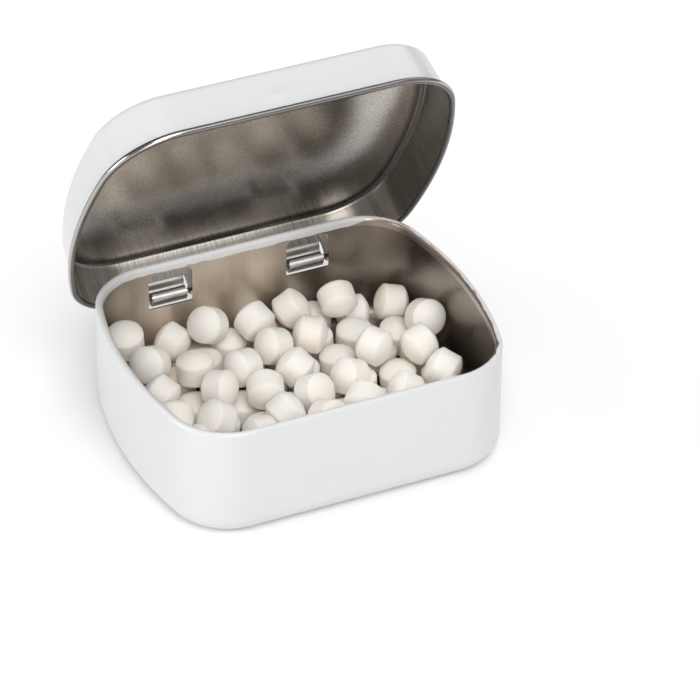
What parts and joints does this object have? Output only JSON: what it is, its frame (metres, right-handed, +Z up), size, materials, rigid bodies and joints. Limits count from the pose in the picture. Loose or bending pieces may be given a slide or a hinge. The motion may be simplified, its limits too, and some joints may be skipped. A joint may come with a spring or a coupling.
{
  "type": "hinged mint tin",
  "caption": "Small hinged tin with rounded corners and bowed ends, a rolled rim and a curled lid edge, standing open with loose round mints inside.",
  "frame": {"origin": "middle of the base's flat underside", "axes": "+X along the hinge, +Y from the front to the hinge, +Z up"},
  "size_m": [0.0602, 0.052, 0.0561],
  "materials": {
    "base_enamel": "white gloss enamel outside, bare tinplate inside",
    "lid_enamel": "white gloss enamel outside, bare tinplate inside, printed top",
    "mint": "warm off-white pressed sugar, satin"
  },
  "bodies": {
    "base": {"tin_base": "base_enamel", "mints_lower_row_1": "mint", "mints_lower_row_2": "mint", "mints_lower_row_3": "mint", "mints_lower_row_4": "mint", "mints_lower_row_5": "mint", "mints_lower_row_6": "mint", "mints_lower_row_7": "mint", "mints_lower_row_8": "mint", "mints_upper_row_1": "mint", "mints_upper_row_2": "mint", "mints_upper_row_3": "mint", "mints_upper_row_4": "mint", "mints_upper_row_5": "mint", "mints_upper_row_6": "mint", "mints_upper_row_7": "mint", "mints_upper_row_8": "mint"},
    "lid": {"tin_lid": "lid_enamel"}
  },
  "joints": [
    {"name": "lid_hinge", "type": "hinge", "parent": "base", "child": "lid", "pos_m": [0, 0.0231, 0.0114], "axis": [-1, 0, 0], "range_deg": [-65, 40]}
  ]
}
